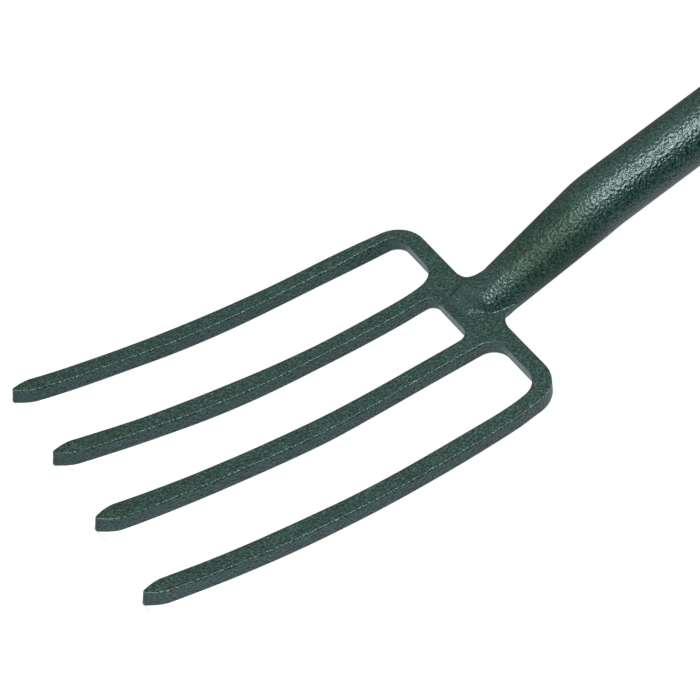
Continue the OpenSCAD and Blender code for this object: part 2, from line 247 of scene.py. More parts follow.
def project(field, points, cell_size, times):
    """Points moved onto the surface, by at most half a cell each time."""
    for _ in range(times):
        slopes = gradient(field, points)
        steepness = np.maximum((slopes * slopes).sum(1), 0.05)
        move = -(field(points) / steepness)[:, None] * slopes
        length = np.linalg.norm(move, axis=1)
        move *= np.minimum(1, 0.5 * cell_size / np.maximum(length, 1e-9))[:, None]
        points = points + move
    return points


def surface(field, stops, relax):
    """The surface field = 0 as vertices, quads and normals, on a grid whose steps may differ."""
    values = sample(field, *stops)
    inside = values < 0
    active = active_cells(inside)
    cells = np.nonzero(active)
    count = len(cells[0])
    vertex_of = np.full(active.shape, -1, np.int64)
    vertex_of[cells] = np.arange(count)
    verts = cell_points(values, cells, stops)
    quads = cell_quads(inside, vertex_of)
    cell_size = np.stack([np.diff(stops[d])[cells[d]] for d in range(3)], 1).min(1)
    verts = project(field, verts, cell_size, 3)

    # slide each vertex along the surface towards its neighbours' middle
    start, end = np.concatenate([quads[:, [a, (a + 1) % 4]] for a in range(4)]).T
    degree = np.bincount(start, minlength=count) + np.bincount(end, minlength=count)
    for _ in range(relax):
        mean = np.stack([np.bincount(start, verts[end, d], count)
                         + np.bincount(end, verts[start, d], count)
                         for d in range(3)], 1) / np.maximum(degree, 1)[:, None]
        normals = unit_normals(field, verts)
        move = (mean - verts) * 0.5
        move -= (move * normals).sum(1)[:, None] * normals
        verts = project(field, verts + move, cell_size, 1)
    return verts, quads, unit_normals(field, verts)


def link_smooth(name, mesh):
    mesh.polygons.foreach_set("use_smooth", [True] * len(mesh.polygons))
    ob = bpy.data.objects.new(name, mesh)
    bpy.context.scene.collection.objects.link(ob)
    return ob


def add_surface(name, field, stops, relax=2, in_head=False):
    """An object from a field. in_head says the field and grid use the head's axes."""
    verts, quads, normals = surface(field, stops, relax)
    if in_head:
        verts, normals = to_world(verts), normals @ HEAD.T
    used = np.unique(quads)
    new_index = np.full(len(verts), -1, np.int64)
    new_index[used] = np.arange(len(used))
    quads = new_index[quads]
    mesh = bpy.data.meshes.new(name)
    mesh.vertices.add(len(used))
    mesh.vertices.foreach_set("co", (verts[used] * MM).astype(np.float32).ravel())
    mesh.loops.add(quads.size)
    mesh.loops.foreach_set("vertex_index", quads.astype(np.int32).ravel())
    mesh.polygons.add(len(quads))
    mesh.polygons.foreach_set("loop_start", np.arange(0, quads.size, 4, dtype=np.int32))
    mesh.update(calc_edges=True)
    mesh.validate()
    ob = link_smooth(name, mesh)
    mesh.normals_split_custom_set_from_vertices([tuple(n) for n in normals[used]])
    return ob


def store_grain(ob, grain_at):
    """Texture coordinates that follow the wood: across, front to back, along the grain."""
    mesh = ob.data
    points = np.empty(len(mesh.vertices) * 3, np.float32)
    mesh.vertices.foreach_get("co", points)
    grain = grain_at(points.reshape(-1, 3).astype(float) * 1000)
    attribute = mesh.attributes.new("grain", "FLOAT_VECTOR", "POINT")
    attribute.data.foreach_set("vector", (grain * MM).astype(np.float32).ravel())


# ---------------------------------------------------------------------------
# the head's outline

TINE_LEN = 265.6
STRAIGHT = 76.0           # the tines are straight this far down, then bow forwards
BOW_R = 663.0
TINE_W = 10.7
TINE_X = {"inner": (25.4, 29.4), "outer": (88.0, 91.45)}  # middle at the root, at the tip
POINT_LEN, POINT_W = 13.5, 2.0
POINT_S = TINE_LEN - POINT_LEN
TIP_A = math.asin((TINE_LEN - STRAIGHT) / BOW_R) - 0.0004
PLATE_T = TINE_T + 0.4
EDGE_R = 0.8
JOIN_S = 14               # where a flared tine runs into the arc above it

# How far each tine's edges stand off the drawn line, towards the fork's outside, at
# these distances down the tine. Rows are tine_edge.
STATIONS = [14, 20, 27, 35, 45, 55, 65, 80, 95, 110, 125, 140, 155, 170, 185, 200, 215, 230, 245]
OFFSETS = {
    "left": {
        "outer_out": [0.4, 0.3, 0.2, 0.2, 0.4, 0.2, 0.1, 0, 0.1, 0.4,
                      0.3, 0.3, 0.2, 0.1, 0, -0.3, -0.6, -1.2, -1.6],
        "outer_in": [-0.7, -0.7, -0.8, -0.7, -0.5, -0.3, 0, 0.1, 0.2, -0.1,
                     -0.3, -0.4, -0.4, -0.4, 0, 0, -0.4, -0.8, -1.3],
        "inner_out": [0.3, 0, -0.2, -0.3, -0.4, -0.6, -0.85, -1.0, -1.1, -0.8,
                      -0.6, -0.3, 0, 0, 0, -0.2, -0.3, 0, 0],
        "inner_in": [2.2, 1.9, 1.1, 0.5, 0.1, -0.1, -0.3, -0.2, -0.1, -0.4,
                     -0.8, -1.1, -1.2, -1.1, -0.8, -0.3, -0.2, 0, 0],
    },
    "right": {
        "inner_in": [0, 0.1, 0.4, 0.3, 0.3, 0.4, 0.5, 0.5, 0.4, 0.5,
                     0.4, 0.1, -0.1, -0.1, -0.2, -0.1, 0, -0.1, -0.1],
        "inner_out": [0.5, 0.6, 0.5, 0.5, 0.4, 0.4, 0.5, 0.5, 0.7, 1.1,
                      1.3, 0.9, 0.6, 0.4, 0.3, 0.5, 0.6, 1.0, 1.2],
        "outer_in": [-0.1, 0, 0.1, 0.3, 0.1, 0.1, 0.2, 0.2, 0.4, 0.6,
                     0.6, 0.6, 0.2, 0.2, 0.2, 0.4, 0.5, 0.5, 0.4],
        "outer_out": [0.3, 0.5, 0.6, 0.9, 1.0, 1.0, 1.1, 0.9, 0.8, 0.8,
                      0.8, 0.7, 0.7, 0.75, 0.65, 0.5, 0.4, 0.2, 0.05],
    },
}


def softened(values, width=6.0):
    """The stations' values as a smooth function of distance down the tine."""
    distance = np.arange(-30, 301)
    values = np.interp(distance, STATIONS, values)
    bell = np.exp(-0.5 * (np.arange(-24, 25) / width) ** 2)
    values = np.convolve(np.pad(values, 24, mode="edge"), bell / bell.sum(), mode="valid")
    return lambda s: np.interp(s, distance, values)


OFFSET_AT = {side: {edge: softened(values) for edge, values in rows.items()}
             for side, rows in OFFSETS.items()}


def arc(cx, cy, radius, start, end, count):
    angles = np.radians(start + (end - start) * np.arange(count + 1) / count)
    return [[cx + radius * math.cos(a), cy + radius * math.sin(a)] for a in angles]


def down(edge, stations):
    return [[edge(s), -s] for s in stations]


def tine_x(tine, s):
    root, tip = TINE_X[tine]
    return root + (tip - root) * s / TINE_LEN


def tine_point(tine, edge_in, edge_out):
    """Down the outer side of a tine's point, across below its blunt end and up again."""
    low, high = edge_in(POINT_S), edge_out(POINT_S)
    centre, half = (low + high) / 2, (high - low) / 2
    end_x = centre + (tine_x(tine, TINE_LEN) - tine_x(tine, POINT_S)) * 0.5
    outer, inner = [], []
    for u in np.arange(17) / 16:
        x = centre + (end_x - centre) * u
        reach = POINT_W / 2 + (half - POINT_W / 2) * (1 - u ** 1.7)
        y = -(POINT_S + u * POINT_LEN)
        outer.append([x + reach, y])
        inner.append([x - reach, y])
    end_y = -TINE_LEN - 8
    end = [[end_x + POINT_W / 2, end_y], [end_x - POINT_W / 2, end_y]]
    return outer + end + inner[::-1]


def half_outline(front, side):
    """Half of the head's outline at its front or rear face, clockwise, drawn on the right."""
    left = side == "left"
    offset = OFFSET_AT[side]
    root_extra = 0.2 if front else 0.0

    def half_width(s):
        return TINE_W / 2 + 0.25 * s / TINE_LEN + root_extra * math.exp(-s / 45)

    def outer_out(s):
        x = tine_x("outer", s) + half_width(s) - 3.2 * math.exp(-s / 48)
        return min(x + offset["outer_out"](s), 96.84)

    def outer_in(s):
        x = tine_x("outer", s) - half_width(s) + offset["outer_in"](s)
        if front and not left:
            return x - 7.0 * math.exp(-s / 12.5)
        if front and left:
            x += 1.5 * ease((50 - s) / 25)
        return x - 0.8 * math.exp(-s / 25)

    def inner_out(s):
        x = tine_x("inner", s) + half_width(s) + offset["inner_out"](s)
        if left:
            x += (8.5 if front else 3.0) * math.exp(-s / 12.5)
        return x

    def inner_in(s):
        return tine_x("inner", s) - half_width(s) + offset["inner_in"](s)

    side_gap_y = -1.2 if front else -0.15      # top of the gap between inner and outer tine
    centre_gap_y = -12.7 if front else -11.6   # top of the gap between the inner tines
    outer_root_r, inner_root_r = (8.5, 11.0) if front else (9.5, 12.0)
    centre_root_r = 6.0 if left else 8.0
    shoulder_y = SHOULDER + (0.45 if left else 0.0)
    shoulder_r = 21.0 if left else 22.0
    shoulder_x = TINE_X["outer"][0] - 3 + TINE_W / 2 - shoulder_r + (0.5 if left else 0.0)
    # the tang above the shoulders: its half width and the fillets at its foot
    fillet_r, tang_half = (13.5, 17.0) if front else (8.0, 13.2)
    edge_s = [24, 28, 32, 36, 40, 45, 50] + list(range(57, 240, 7)) + [245, POINT_S - 0.5]
    flare_s = [16, 18, 20, 22]

    def flare_r(angle):
        return (JOIN_S + side_gap_y) / (1 - math.sin(math.radians(angle)))

    # the tang and the shoulder
    outline = [[0, 36], [10, 36], [11.4, 34.5]]
    outline += [[14.0 if front else 12.6, shoulder_y + fillet_r + 6]]
    outline += arc(tang_half + fillet_r, shoulder_y + fillet_r, fillet_r, 180, 270, 26)
    outline += arc(shoulder_x, shoulder_y - shoulder_r, shoulder_r, 90, 0 if left else 4, 40)
    # the outer tine
    outline += down(outer_out, edge_s)
    outline += tine_point("outer", outer_in, outer_out)
    if front and not left:
        angle = 11.0
        radius = flare_r(angle)
        cx = outer_in(JOIN_S) - radius * math.cos(math.radians(angle))
        outline += down(outer_in, (flare_s + edge_s)[::-1])
        outline += arc(cx, side_gap_y - radius, radius, angle, 90, 24)
    else:
        outline += down(outer_in, edge_s[::-1])
        outline += arc(outer_in(12) - outer_root_r, side_gap_y - outer_root_r, outer_root_r,
                       0, 90, 22)
    # the inner tine
    if front and left:
        angle = 12.5
        radius = flare_r(angle)
        cx = inner_out(JOIN_S) + radius * math.cos(math.radians(angle))
        outline += arc(cx, side_gap_y - radius, radius, 90, 180 - angle, 26)
        outline += down(inner_out, flare_s + edge_s)
    else:
        outline += arc(inner_out(13) + inner_root_r, side_gap_y - inner_root_r, inner_root_r,
                       90, 180, 24)
        outline += down(inner_out, edge_s)
    outline += tine_point("inner", inner_in, inner_out)
    outline += down(inner_in, edge_s[::-1])
    outline += arc(inner_in(20) - centre_root_r, centre_gap_y - centre_root_r, centre_root_r,
                   0, 90, 18)
    return np.array(outline, float)


class Plan:
    """Signed distance to an outline, kept on a fine grid of its drawn half."""

    STEP = 0.5
    X_START, Y_START = -1.0, -TINE_LEN - 14

    def __init__(self, half):
        self.nx, self.ny = int(104 / self.STEP), int((TINE_LEN + 14 + 44) / self.STEP)
        grid_x, grid_y = np.meshgrid(self.X_START + self.STEP * np.arange(self.nx),
                                     self.Y_START + self.STEP * np.arange(self.ny),
                                     indexing="ij")
        points = np.stack([grid_x.ravel(), grid_y.ravel()], 1)
        nearest = np.full(len(points), 1e9)
        inside = np.zeros(len(points), bool)
        outline = np.concatenate([half, (half * [-1, 1])[:0:-1]])
        for start, end in zip(outline, np.roll(outline, -1, 0)):
            side = end - start
            length_2 = max(side @ side, 1e-12)
            rel = points - start
            t = np.clip((rel @ side) / length_2, 0, 1)
            away = rel - t[:, None] * side
            nearest = np.minimum(nearest, (away * away).sum(1))
            level = (start[1] > points[:, 1]) != (end[1] > points[:, 1])
            if level.any():
                x = start[0] + (points[level, 1] - start[1]) / (end[1] - start[1]) * side[0]
                inside[level] ^= points[level, 0] < x
        distance = np.sqrt(nearest)
        self.grid = np.where(inside, -distance, distance).reshape(self.nx, self.ny)

    def __call__(self, x, y):
        u = np.clip((np.abs(x) - self.X_START) / self.STEP, 0, self.nx - 1.001)
        v = np.clip((y - self.Y_START) / self.STEP, 0, self.ny - 1.001)
        i, j = u.astype(int), v.astype(int)
        u, v = u - i, v - j
        grid = self.grid
        return ((grid[i, j] * (1 - u) + grid[i + 1, j] * u) * (1 - v)
                + (grid[i, j + 1] * (1 - u) + grid[i + 1, j + 1] * u) * v)


PLANS = {(front, side): Plan(half_outline(front, side))
         for front in (True, False) for side in ("left", "right")}


def plan(front, x, y):
    right = x >= 0
    distance = np.empty(len(x))
    distance[right] = PLANS[front, "right"](x[right], y[right])
    distance[~right] = PLANS[front, "left"](x[~right], y[~right])
    return distance


def plate_field(q):
    """The forging, in the head's own axes."""
    x, y, z = q[:, 0], q[:, 1], q[:, 2]
    bowed = y < -STRAIGHT
    below, forward = -(y + STRAIGHT), BOW_R - z
    radius = np.hypot(below, forward)
    depth = np.where(bowed, BOW_R - radius, z)  # 0 on the front face, -PLATE_T on the rear
    rearness = np.clip(-depth / PLATE_T, 0, 1)
    near_root = ease((y + 120) / 60)
    angle = np.arctan2(below, forward)
    along = np.where(bowed, -STRAIGHT - BOW_R * np.sin(angle), y)
    rear_d = plan(False, x, along)
    front_d = plan(True, x, along)
    outline = rear_d + (front_d - rear_d) * (1 - rearness) * near_root
    plate = round_max(outline, np.abs(depth + PLATE_T / 2) - PLATE_T / 2, EDGE_R)
    tip = np.where(bowed, (angle - TIP_A) * radius, -50.0)
    plate = round_max(plate, tip, 0.6)
    return round_max(plate, (y - 33.0 - z) * 0.7071, 3.0)  # the tang, cut back to the rear


# ---------------------------------------------------------------------------
# the socket: a cone that rises from its foot on the head, a bend, an upright tube

NECK_DEG = 20.7       # the cone leans forwards this much from the head's y
HEAD_DEG = 12.7       # the part of that taken up by the head's own lean
TILT = math.radians(NECK_DEG - HEAD_DEG)
FOOT = np.array([0.0, 6.9, -6.4])     # the centreline's foot, in the head's axes
NECK_DIR = np.array([0.0, math.cos(math.radians(NECK_DEG)), math.sin(math.radians(NECK_DEG))])
SOCKET_R, NECK_R, WALL = 19.85, 14.9, 2.0
BEND_R, NECK_LEN, FOOT_R = 100.0, 98.4, 4.6
CAVITY_S = 20         # the tube is solid below this distance up the centreline
BEND_TANGENT = BEND_R * math.tan(TILT / 2)
CONE_LEN = NECK_LEN - BEND_TANGENT
CONE_SLOPE = (SOCKET_R - NECK_R) / CONE_LEN
foot = to_world(FOOT[None])[0]
neck_dir = HEAD @ NECK_DIR
BEND_TOP = foot[2] + neck_dir[2] * NECK_LEN + BEND_TANGENT
BEND_Y = SHAFT_Y + BEND_R             # the bend's centre, at height BEND_TOP
TOP_S = CONE_LEN + BEND_R * TILT + (SOCKET_TOP - BEND_TOP)


def tube_coords(p):
    """Distance up the centreline, distance from it, and how far behind it."""
    y, z = p[:, 1], p[:, 2]
    rel = p - foot
    cone_lat = rel[:, 1] * neck_dir[2] - rel[:, 2] * neck_dir[1]
    cy, cz = y - BEND_Y, z - BEND_TOP
    angle = np.arctan2(-cz, -cy)      # 0 at the top of the bend, TILT at its lower end
    in_bend = (cz < 0) & (angle < TILT)
    upright = cz >= 0
    s = np.where(upright, CONE_LEN + BEND_R * TILT + (z - BEND_TOP),
                 np.where(in_bend, CONE_LEN + BEND_R * (TILT - angle), rel @ neck_dir))
    lat = np.where(upright, y - SHAFT_Y,
                   np.where(in_bend, BEND_R - np.hypot(cy, cz), cone_lat))
    return s, np.hypot(p[:, 0], lat), lat


def tube_r(s):
    """The cone's radius running softly into the socket's."""
    cone, soft = NECK_R + s * CONE_SLOPE, 0.12
    share = np.clip(0.5 + 0.5 * (SOCKET_R - cone) / soft, 0, 1)
    return SOCKET_R + (cone - SOCKET_R) * share - soft * share * (1 - share)


def footed_tube(s, radius, lat):
    """An endless solid tube whose foot is rounder in front and behind than at its sides."""
    foot_r = FOOT_R + 2.0 * ease(lat / 8) + 1.4 * ease((-lat - 2) / 8)
    return round_max(-s, radius - tube_r(s), foot_r)


def solid_tube(p):
    s, radius, lat = tube_coords(p)
    return round_max(footed_tube(s, radius, lat), s - TOP_S, 0.7)


def hollow_tube(p):
    s, radius, lat = tube_coords(p)
    thicker = 0.6 * np.clip(1 - (s - CAVITY_S) / (CONE_LEN - CAVITY_S), 0, 1)
    bore = np.where(s < CONE_LEN, NECK_R + s * CONE_SLOPE - WALL - thicker, SOCKET_R - WALL)
    cavity = np.maximum(radius - bore, CAVITY_S - s)
    return round_max(np.maximum(footed_tube(s, radius, lat), -cavity), s - TOP_S, 0.55)


def joint_fields(p):
    """The forging, the tube, and the two run together. In front the fillet is wider on
    the left, tighter on the right, and wider again low down near the middle."""
    q = to_head(p)
    plate = plate_field(q)
    tube = hollow_tube(p)
    front = ease((q[:, 2] + 6) / 7)
    flank = ease((-q[:, 0] - 3) / 10) * 5.5 - ease((q[:, 0] - 5) / 6) * 2.8
    low = (ease((12 - q[:, 0]) / 10) * ease((q[:, 0] + 18) / 6)
           * ease((20 - q[:, 1]) / 10) * 8.0)
    return plate, tube, round_min(plate, tube, 2.0 + (1.6 + flank + low) * front)


def head_field(q):
    plate, tube, joint = joint_fields(to_world(q))
    return np.maximum(joint, plate - tube)


def socket_field(p):
    plate, tube, joint = joint_fields(p)
    socket = np.maximum(joint, tube - plate)
    for rivet_z in SOCKET_RIVETS_Z:
        socket = np.maximum(socket, 2.5 - np.hypot(p[:, 0], p[:, 2] - rivet_z))
    return socket


def weld_field(q):
    """A thin skin over the line where forging and tube meet."""
    p = to_world(q)
    plate, tube, joint = joint_fields(p)
    skin = np.maximum(joint - 0.035, -joint - 1.3)
    band = np.maximum(np.abs(plate - tube) - 1.9, -solid_tube(p) - 2.4)
    return np.maximum(skin, band)


def make_head():
    # fine across each tine, coarse between them
    right = steps((0, 16, 1.2), (16, 37, 0.5), (37, 79, 1.2), (79, 98.5, 0.5))
    stops = (np.concatenate([-right[:0:-1], right]),
             steps((-270.5, -244, 0.7), (-244, -40, 2.0), (-40, -22, 1.0), (-22, 40, 0.75)),
             steps((-12.2, 1.6, 0.5), (1.6, 28.6, 0.55)))
    return add_surface("tine_head_forging", head_field, stops, in_head=True)


def make_socket():
    near_rivet = LOW_RIVET_Z - 12
    stops = (steps((-21.5, 21.5, 0.8)),
             steps((SHAFT_Y - 22.0, SHAFT_Y + 31.0, 0.8)),
             steps((SOCKET_BOTTOM - 2.5, 300.0, 0.7), (300, near_rivet, 1.8),
                   (near_rivet, SOCKET_TOP - 6, 1.2), (SOCKET_TOP - 6, SOCKET_TOP + 1.5, 0.5)))
    return add_surface("socket_tube", socket_field, stops)


def make_weld():
    stops = (steps((-23, 23, 0.42)), steps((-2, 36, 0.42)), steps((-26, 17, 0.42)))
    return add_surface("neck_weld_seam", weld_field, stops, relax=1, in_head=True)


# ---------------------------------------------------------------------------
# the ash shaft and its two arms

KERF_HALF = 0.75                      # half the saw cut between the arms
LOW_BEND_R, HIGH_BEND_R = 62.0, 38.0
ARM_A = math.radians(40.0)            # how far the arms lean out between their bends
SPLIT_R = 18.0                        # the shaft's radius at the split
STEM_R = 17.0
GRIP_LEN = 92.0
TENON_R, TENON_LEN = 8.0, 8
ARM_OUT = GRIP_LEN / 2 + SPLIT_R - KERF_HALF  # x of the arms' outer faces at the grip
RIVET_D = 5.0
HOLE_R = RIVET_D / 2 + 0.05
WASHER_D, WASHER_HOLE_D, WASHER_T = 15.0, 5.1, 1.5
SEAT_R, SEAT_DEPTH = WASHER_D / 2 + 0.2, 2    # the washers' seats in the arms

# the right arm's inner face in x and z: bend, straight run, bend back, upright
ARM_RUN = ((GRIP_LEN / 2 - KERF_HALF - (LOW_BEND_R + HIGH_BEND_R) * (1 - math.cos(ARM_A)))
           / math.sin(ARM_A))
run_out = np.array([math.cos(ARM_A), -math.sin(ARM_A)])
run_along = np.array([math.sin(ARM_A), math.cos(ARM_A)])
low_bend = np.array([KERF_HALF + LOW_BEND_R, SPLIT_Z])
run_start = low_bend - LOW_BEND_R * run_out
run_end = run_start + ARM_RUN * run_along
high_bend = run_end - HIGH_BEND_R * run_out
upright_start = high_bend + np.array([HIGH_BEND_R, 0.0])
V_RUN = LOW_BEND_R * ARM_A
V_HIGH_BEND = V_RUN + ARM_RUN
V_UPRIGHT = V_HIGH_BEND + HIGH_BEND_R * ARM_A


def arm_coords(x, z):
    """For |x|: u, the distance out from the arm's inner face, and v, along it from the split."""
    low_x, low_z = x - low_bend[0], z - low_bend[1]
    low_angle = np.arctan2(low_z, -low_x)
    run_x, run_z = x - run_start[0], z - run_start[1]
    run_v = V_RUN + run_x * run_along[0] + run_z * run_along[1]
    high_x, high_z = x - high_bend[0], z - high_bend[1]
    high_angle = np.arctan2(high_z, high_x)   # -ARM_A to 0
    part = np.where(high_z < 0, 3, 4)
    part = np.where(run_v < V_HIGH_BEND, 2, part)
    part = np.where(low_angle < ARM_A, 1, part)
    part = np.where(z < SPLIT_Z, 0, part)
    # the lower bend's angle only means something on the arm's side of its centre
    part = np.where((part == 1) & (x > low_bend[0]), 2, part)
    u = np.choose(part, [x - KERF_HALF,
                         LOW_BEND_R - np.hypot(low_x, low_z),
                         run_x * run_out[0] + run_z * run_out[1],
                         np.hypot(high_x, high_z) - HIGH_BEND_R,
                         x - upright_start[0]])
    v = np.choose(part, [z - SPLIT_Z,
                         LOW_BEND_R * low_angle,
                         run_v,
                         V_HIGH_BEND + HIGH_BEND_R * (high_angle + ARM_A),
                         V_UPRIGHT + (z - upright_start[1])])
    return u, v


def stem_r(z):
    """The stem fits the bore, slims above the socket and swells again at the split."""
    bore_r = SOCKET_R - WALL - 0.05
    slimmed = bore_r + (STEM_R - bore_r) * ease((z - SOCKET_TOP - 3) / 64)
    radius = np.where(z < SOCKET_TOP + 3, bore_r, slimmed)
    return radius + (SPLIT_R - STEM_R) * ease((z - (SPLIT_Z - 92)) / 56)


def shaft_field(p):
    x, y, z = np.abs(p[:, 0]), p[:, 1] - SHAFT_Y, p[:, 2]
    stem = round_max(np.hypot(x, y) - stem_r(z), BEND_TOP + 10 - z, 4.0)
    stem = np.maximum(stem, z - SPLIT_Z)
    stem = np.maximum(stem, -np.maximum(x - KERF_HALF, SPLIT_Z - 8 - z))
    # each arm is half the shaft's round, flattened in front and behind above the split
    u, v = arm_coords(x, z)
    flats = np.abs(y) - (SPLIT_R - 1.6 * ease((v - 5) / 50))
    arm = round_max(np.hypot(u + KERF_HALF, y) - SPLIT_R, flats,
                    0.05 + 3.45 * ease((v - 2) / 40))
    arm = round_max(arm, -u, 0.5 + 3.0 * ease(v / 26))
    arm = np.maximum(arm, SPLIT_Z - 0.01 - z)
    from_grip = np.hypot(y, z - GRIP_Z)
    end = np.where(z > GRIP_Z, from_grip - (ARM_TOP - GRIP_Z), z - ARM_TOP)
    arm = round_max(arm, end, 3.2)
    wood = np.minimum(stem, arm)
    from_crotch = np.hypot(y, z - CROTCH_Z)
    cuts = [
        np.maximum(from_grip - SEAT_R, ARM_OUT - SEAT_DEPTH - x),
        from_grip - HOLE_R,
        np.maximum(from_grip - (TENON_R + 0.05), x - (GRIP_LEN / 2 + TENON_LEN)),
        np.maximum(from_crotch - SEAT_R, SPLIT_R - SEAT_DEPTH - x),
        from_crotch - HOLE_R,
    ]
    cuts += [np.hypot(x, z - rivet_z) - HOLE_R for rivet_z in SOCKET_RIVETS_Z]
    for cut in cuts:
        wood = np.maximum(wood, -cut)
    return wood


def shaft_grain(p):
    """The grain runs up the stem and follows each arm."""
    x, y, z = p[:, 0], p[:, 1] - SHAFT_Y, p[:, 2]
    u, v = arm_coords(np.abs(x), z)
    arm = z > SPLIT_Z
    side = np.where(x < 0, -1.0, 1.0)
    return np.stack([np.where(arm, (u + KERF_HALF) * side, x), y,
                     np.where(arm, SPLIT_Z + v, z)], 1)


def make_shaft():
    stops = (steps((-65, -19.5, 0.8), (-19.5, 19.5, 0.8), (19.5, 65, 0.8)),
             steps((SHAFT_Y - 19, SHAFT_Y + 19, 0.8)),
             steps((BEND_TOP + 8, LOW_RIVET_Z - 6, 4), (LOW_RIVET_Z - 6, HIGH_RIVET_Z + 6, 1.5),
                   (HIGH_RIVET_Z + 6, SPLIT_Z - 32, 3.0), (SPLIT_Z - 32, SPLIT_Z - 10, 1.0),
                   (SPLIT_Z - 10, SPLIT_Z + 34, 0.7), (SPLIT_Z + 34, ARM_TOP + 1.5, 0.9)))
    shaft = add_surface("ash_shaft", shaft_field, stops)
    store_grain(shaft, shaft_grain)
    return shaft


def wedge_field(p):
    """The block that fills the split, from inside the kerf to between the lower bends."""
    x, y, z = np.abs(p[:, 0]), p[:, 1] - SHAFT_Y, p[:, 2]
    bend_drop = np.maximum(LOW_BEND_R ** 2 - (z - SPLIT_Z) ** 2, 1.0)
    half_width = np.where(z < SPLIT_Z, KERF_HALF, low_bend[0] - np.sqrt(bend_drop))
    ends = np.maximum(z - (SPLIT_Z + 17), SPLIT_Z - 7 - z)
    return round_max(x - half_width, round_max(np.abs(y) - 15.8, ends, 0.8), 0.25)


def make_wedge():
    stops = (steps((-4.2, 4.2, 0.35)), steps((SHAFT_Y - 17, SHAFT_Y + 17, 0.8)),
             steps((SPLIT_Z - 8, SPLIT_Z + 18, 0.5)))
    wedge = add_surface("crotch_wedge_block", wedge_field, stops, relax=0)
    store_grain(wedge, lambda p: np.stack([p[:, 0] + 9, p[:, 1] - SHAFT_Y + 15, p[:, 2]], 1))
    return wedge


# ---------------------------------------------------------------------------
# turned pieces


def turned(profile, centre, axis, segments, closed=False):
    """Vertices and faces of (radius, height) pairs spun about an axis through centre.
    A closed profile joins its last pair to its first."""
    verts, faces, rings = [], [], []
    for radius, height in profile:
        count = 1 if radius < 1e-6 else segments
        rings.append(list(range(len(verts), len(verts) + count)))
        for i in range(count):
            angle = 2 * math.pi * i / segments
            verts.append((radius * math.cos(angle), radius * math.sin(angle), height))
    pairs = list(zip(rings, rings[1:]))
    if closed:
        pairs.append((rings[-1], rings[0]))
    for a, b in pairs:
        for i in range(segments):
            j = (i + 1) % segments
            if len(a) == 1:
                faces.append((a[0], b[j], b[i]))
            elif len(b) == 1:
                faces.append((a[i], a[j], b[0]))
            else:
                faces.append((a[i], a[j], b[j], b[i]))
    turn = np.array(Vector(axis).normalized().to_track_quat("Z", "Y").to_matrix())
    return np.array(verts, float) @ turn.T + np.array(centre), faces


def add_turned(name, parts):
    """One object from several turned parts, its faces made to look outwards."""
    verts, faces = [], []
    for part_verts, part_faces in parts:
        start = len(verts)
        verts += [tuple(v * MM) for v in part_verts]
        faces += [tuple(i + start for i in face) for face in part_faces]
    mesh = bpy.data.meshes.new(name)
    mesh.from_pydata(verts, [], faces)
    mesh.update()
    ob = link_smooth(name, mesh)
    bm = bmesh.new()
    bm.from_mesh(mesh)
    bmesh.ops.recalc_face_normals(bm, faces=bm.faces)
    bm.to_mesh(mesh)
    bm.free()
    return ob


def make_grip():
    """A barrel with eased shoulders and a tenon at each end."""
    half, end_r, middle_extra = GRIP_LEN / 2, 13.0, 2.5
    bead_r = 1.4
    bead_x, bead_h = end_r - bead_r, -half + bead_r + 0.02
    tip = -half - TENON_LEN
    end = [(0.0, tip), (TENON_R - 0.5, tip), (TENON_R, tip + 0.5), (TENON_R, -half),
           (bead_x, -half + 0.02)]
    for angle in np.radians(np.linspace(-72, -10, 5)):
        end.append((bead_x + bead_r * math.cos(angle), bead_h + bead_r * math.sin(angle)))
    barrel = [(end_r + middle_extra * (1 - abs(t) ** 2.4), t * half)
              for t in np.linspace(-0.965, 0.965, 61)]
    profile = end + barrel + [(radius, -height) for radius, height in reversed(end)]
    grip = add_turned("turned_grip", [turned(profile, (0, SHAFT_Y, GRIP_Z), (1, 0, 0), 112)])
    store_grain(grip, lambda p: np.stack(
        [p[:, 1] - SHAFT_Y + 31.0, p[:, 2] - GRIP_Z + 11.0, p[:, 0] + 300.0], 1))
    return grip


def rivet(centre, axis, half_len, head_d, head_h, flattened=0.0):
    """A shank with a dome at each end. The domes' crowns are cut a little flat."""
    head_r = head_d / 2
    crown = head_h * (0.96 - flattened)
    end = [(0.0, half_len + crown)]
    for i in range(1, 14):
        angle = math.pi / 2 * (1 - i / 14)
        height = min(head_h * math.sin(angle) ** 0.92, crown)
        end.append((head_r * math.cos(angle) ** 0.9, half_len + height))
    end += [(head_r, half_len + 0.12), (head_r - 0.15, half_len), (RIVET_D / 2, half_len)]
    profile = [(radius, -height) for radius, height in end] + end[::-1]
    return turned(profile, centre, axis, 56)


def arm_rivet(name, z, outer_x):
    """A rivet across the arms, its domes starting just inside their outer faces."""
    return add_turned(name, [rivet((0, SHAFT_Y, z), (1, 0, 0), outer_x - 0.5,
                                   head_d=9.5, head_h=2.4, flattened=0.06)])


def arm_washers(name, z, outer_x):
    """A washer on each side, in the seats in the arms' outer faces."""
    outer, hole, thick, edge = WASHER_D / 2, WASHER_HOLE_D / 2, WASHER_T, 0.22
    profile = [
        (hole, 0.1), (hole + 0.1, 0), (outer - edge, 0), (outer - 0.06, edge * 0.6),
        (outer, edge * 1.4), (outer, thick - edge * 1.4), (outer - 0.06, thick - edge * 0.6),
        (outer - edge, thick), (hole + 0.15, thick), (hole, thick - 0.12),
    ]
    return add_turned(name, [
        turned(profile, (side * (outer_x - SEAT_DEPTH), SHAFT_Y, z), (side, 0, 0), 72, closed=True)
        for side in (1, -1)])


def make_socket_rivets():
    return add_turned("socket_rivets_domed", [
        rivet((0, SHAFT_Y, z), (0, -1, 0), 19.25, head_d=SOCKET_HEAD_D, head_h=2.6)
        for z in SOCKET_RIVETS_Z])


